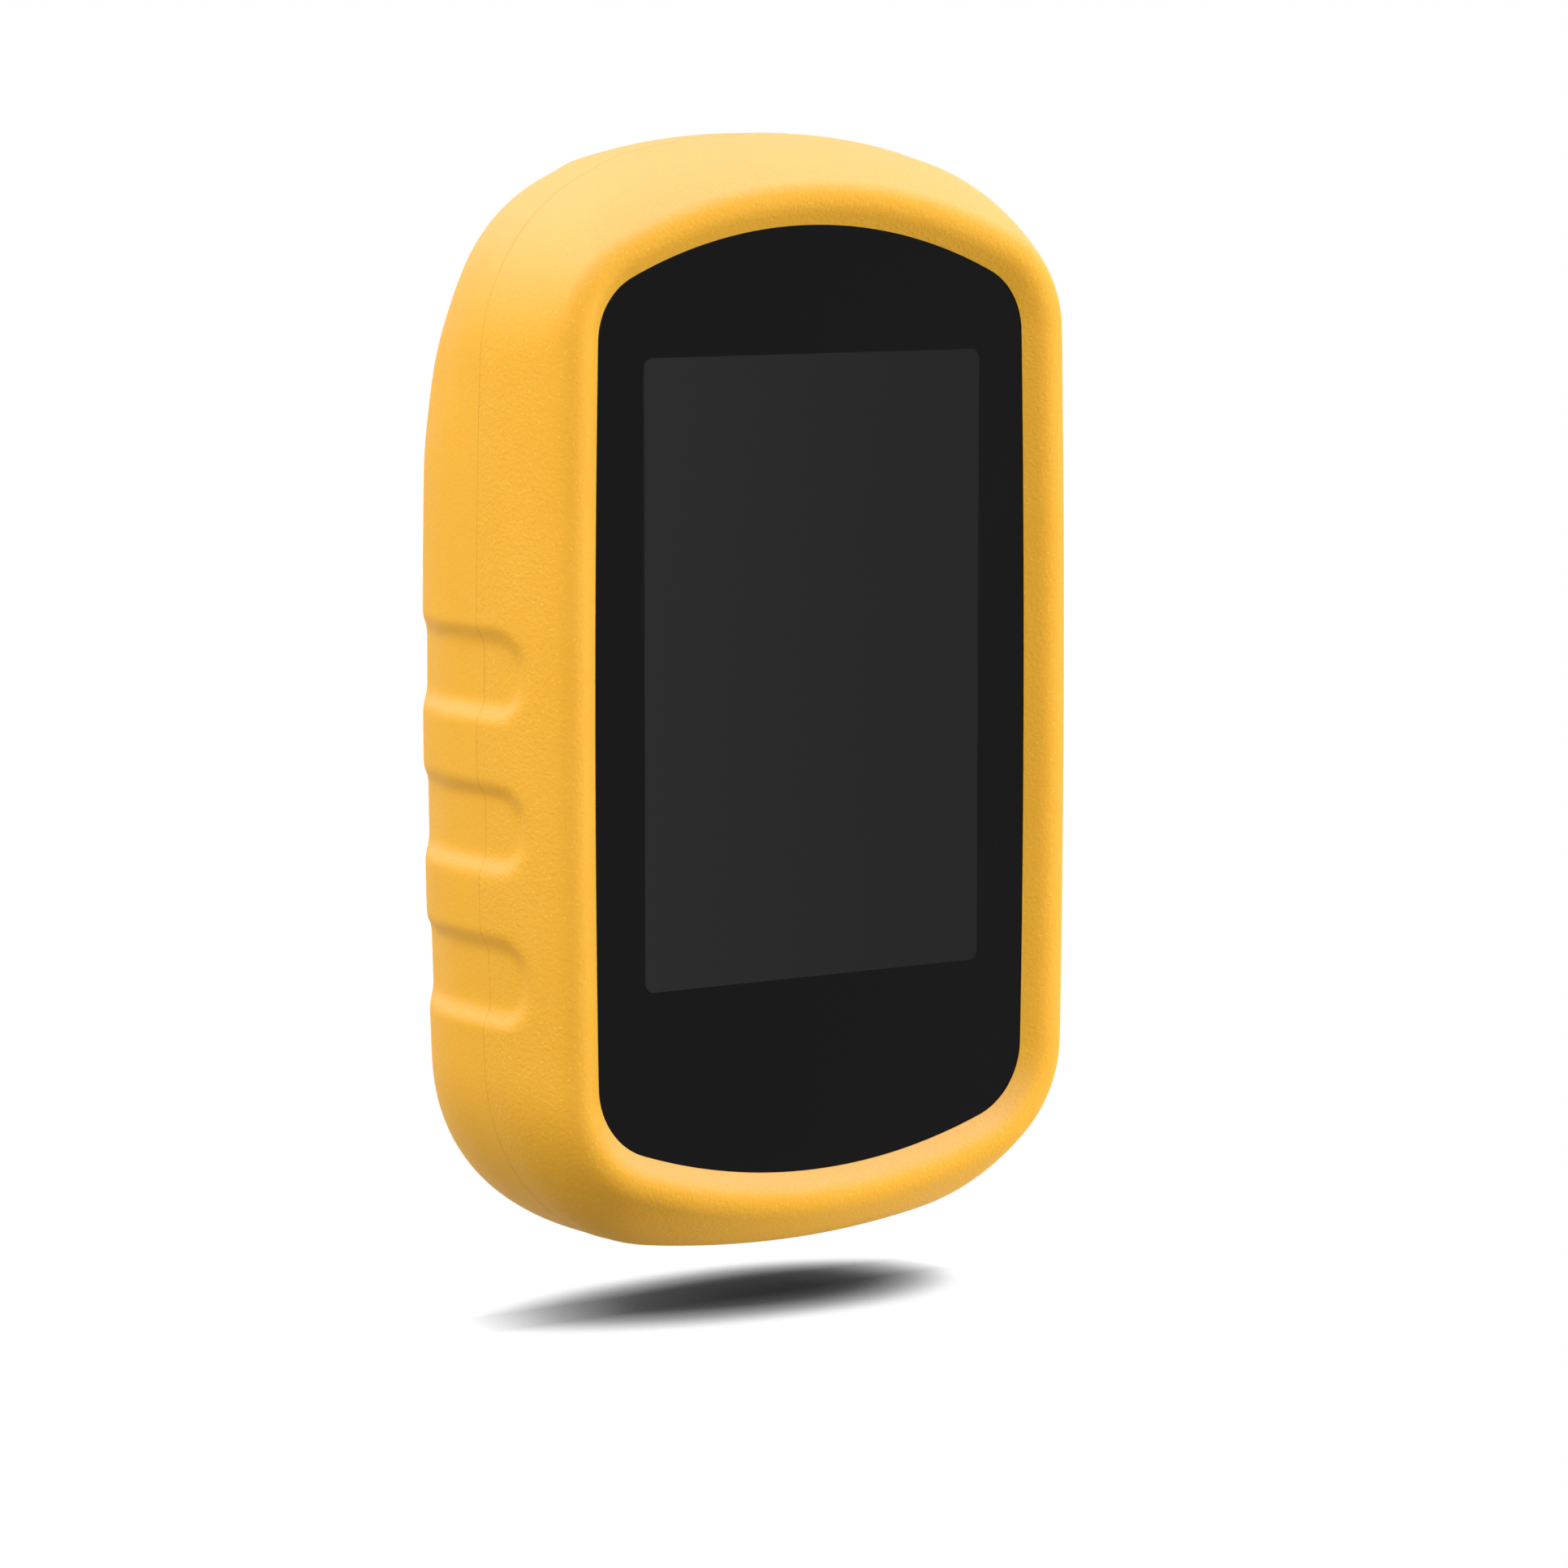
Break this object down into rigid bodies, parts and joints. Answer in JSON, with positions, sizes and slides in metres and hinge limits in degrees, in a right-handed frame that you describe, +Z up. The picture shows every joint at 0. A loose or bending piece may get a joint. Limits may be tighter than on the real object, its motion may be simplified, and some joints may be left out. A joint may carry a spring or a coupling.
{
  "type": "handheld gps unit",
  "caption": "Touch-screen handheld satellite navigator in a grooved yellow silicone sleeve, with a lift-off battery door, turning lock, rubber port cap, side key and a mounting rail.",
  "frame": {"origin": "below the middle of the foot, at the bottom centre of the overall box", "axes": "+Z up along the long axis, the screen faces -Y, +Y out of the battery door, +X to the right of someone who looks at the screen"},
  "size_m": [0.063, 0.033, 0.1044],
  "materials": {
    "yellow_silicone": "satin moulded silicone with a fine grain",
    "dark_glass": "smooth cover glass, tinted dark",
    "black_mask": "matte printed film",
    "display_layers": "dark display layers",
    "black_rubber": "matte rubber",
    "dark_housing": "fine-grained moulded plastic",
    "key_rubber": "matte rubber",
    "white_plastic": "matte diffuser",
    "sheet_steel": "bare sheet",
    "plated_contact": "bright plated",
    "dark_zinc": "dark plated zinc",
    "circuit_board": "solder-masked board",
    "moulded_chip": "moulded resin",
    "antenna_ceramic": "unglazed ceramic",
    "cell_wrap": "plain printed wrap"
  },
  "bodies": {
    "unit": {"silicone_sleeve": "yellow_silicone", "touch_glass": "dark_glass", "glass_adhesive": "black_rubber", "window_mask": "black_mask", "display_panel": "display_layers", "backlight": "white_plastic", "display_chassis": "sheet_steel", "front_bezel": "dark_housing", "main_board": "circuit_board", "processor_chip": "moulded_chip", "memory_chip": "moulded_chip", "receiver_shield": "sheet_steel", "power_shield": "sheet_steel", "beeper": "moulded_chip", "antenna_bracket": "sheet_steel", "patch_antenna": "antenna_ceramic", "housing_seal": "black_rubber", "rear_housing": "dark_housing", "housing_screw_1": "sheet_steel", "housing_screw_2": "sheet_steel", "housing_screw_3": "sheet_steel", "housing_screw_4": "sheet_steel", "cell_left": "cell_wrap", "cell_right": "cell_wrap", "contact_left": "plated_contact", "contact_right": "plated_contact", "contact_bridge": "plated_contact", "spring_left": "plated_contact", "spring_right": "plated_contact", "data_socket": "sheet_steel", "port_board": "circuit_board", "power_switch": "moulded_chip"},
    "power_key": {"power_key": "key_rubber"},
    "battery_door": {"battery_door": "dark_housing", "door_seal": "black_rubber", "mounting_rail": "dark_housing", "rail_screw_1": "sheet_steel", "rail_screw_2": "sheet_steel"},
    "door_lock": {"lock_barrel": "dark_zinc", "lock_circlip": "sheet_steel"},
    "lock_ring": {"lock_ring": "dark_zinc"},
    "weather_cap": {"weather_cap": "black_rubber"}
  },
  "joints": [
    {"name": "key_press", "type": "slide", "parent": "unit", "child": "power_key", "axis": [-1, 0, 0], "range_m": [0, 0.0006], "stiffness_N_per_m": 2000},
    {"name": "door_lift", "type": "slide", "parent": "unit", "child": "battery_door", "axis": [0, 1, 0], "range_m": [0, 0.04]},
    {"name": "lock_turn", "type": "hinge", "parent": "battery_door", "child": "door_lock", "pos_m": [0, 0.01325, 0.01645], "axis": [0, 1, 0], "range_deg": [0, 90]},
    {"name": "ring_fold", "type": "hinge", "parent": "door_lock", "child": "lock_ring", "pos_m": [0, 0.01325, 0.01645], "axis": [1, 0, 0], "range_deg": [0, 90]},
    {"name": "cap_swing", "type": "hinge", "parent": "unit", "child": "weather_cap", "pos_m": [0, 0.0106, 0.0939], "axis": [1, 0, 0], "range_deg": [0, 95], "stiffness_Nm_per_rad": 0.002}
  ]
}
